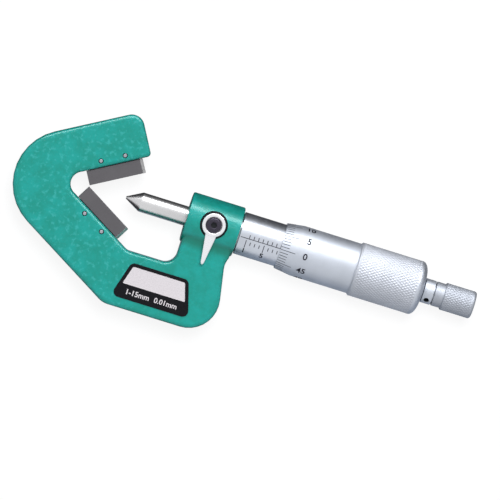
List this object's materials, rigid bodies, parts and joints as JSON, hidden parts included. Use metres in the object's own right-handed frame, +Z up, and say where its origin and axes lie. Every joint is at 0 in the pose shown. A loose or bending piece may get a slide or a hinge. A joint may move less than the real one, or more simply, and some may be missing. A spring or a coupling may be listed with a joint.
{
  "type": "v-anvil micrometer",
  "caption": "Micrometer with two inclined V anvils and a cone-pointed screw spindle for odd-fluted cutters, with ratchet stop and lever lock.",
  "frame": {"origin": "centre of the bounding box in plan, at the lowest point of the thimble's grip, on the surface that the micrometer lies on", "axes": "+X along the spindle from the V towards the ratchet, +Y towards the upper jaw, +Z up, towards the side with the lock lever and the range plate"},
  "size_m": [0.1533, 0.0604, 0.0186],
  "materials": {
    "green_enamel": "hammered green enamel over the casting",
    "anvil_steel": "dark fine-ground hardened steel",
    "ground_steel": "turned and ground steel",
    "spindle_steel": "bright ground steel",
    "satin_chrome": "satin chrome",
    "black_oxide": "black oxide",
    "label_print": "black and white printed plate"
  },
  "bodies": {
    "frame": {"frame": "green_enamel", "upper_anvil": "anvil_steel", "lower_anvil": "anvil_steel", "upper_anvil_pin_1": "ground_steel", "upper_anvil_pin_2": "ground_steel", "lower_anvil_pin_1": "ground_steel", "lower_anvil_pin_2": "ground_steel", "range_plate": "label_print", "inner_sleeve": "ground_steel", "outer_sleeve": "satin_chrome", "adjusting_nut": "ground_steel"},
    "spindle": {"spindle": "spindle_steel"},
    "thimble": {"thimble": "satin_chrome", "ratchet_base": "satin_chrome", "ratchet_screw": "ground_steel"},
    "ratchet": {"ratchet_disc": "ground_steel", "ratchet_spring": "ground_steel", "ratchet_knob": "satin_chrome"},
    "lock": {"lock_lever": "satin_chrome", "lock_screw": "black_oxide", "lock_stud": "ground_steel"},
    "clamp_pad": {"lock_pad": "ground_steel"}
  },
  "joints": [
    {"name": "spindle_feed", "type": "slide", "parent": "frame", "child": "spindle", "axis": [1, 0, 0], "range_m": [-0.01125, 0.00975]},
    {"name": "thimble_turn", "type": "hinge", "parent": "spindle", "child": "thimble", "pos_m": [0.01178, 0.00412, 0.00885], "axis": [1, 0, 0], "range_deg": [-5400, 4680]},
    {"name": "ratchet_turn", "type": "hinge", "parent": "thimble", "child": "ratchet", "pos_m": [0.06342, 0.00412, 0.00885], "axis": [1, 0, 0], "continuous": true},
    {"name": "lock_turn", "type": "hinge", "parent": "frame", "child": "lock", "pos_m": [-0.01087, 0.00412, 0.016], "axis": [0, 0, 1], "range_deg": [-35, 35]},
    {"name": "lock_clamp", "type": "slide", "parent": "frame", "child": "clamp_pad", "axis": [0, 0, 1], "range_m": [-0.0000486, 0.0000486]}
  ],
  "couplings": [
    {"joint": "thimble_turn", "follows": "spindle_feed", "rad_per_m": 8377.6},
    {"joint": "lock_turn", "follows": "lock_clamp", "rad_per_m": 12566}
  ]
}
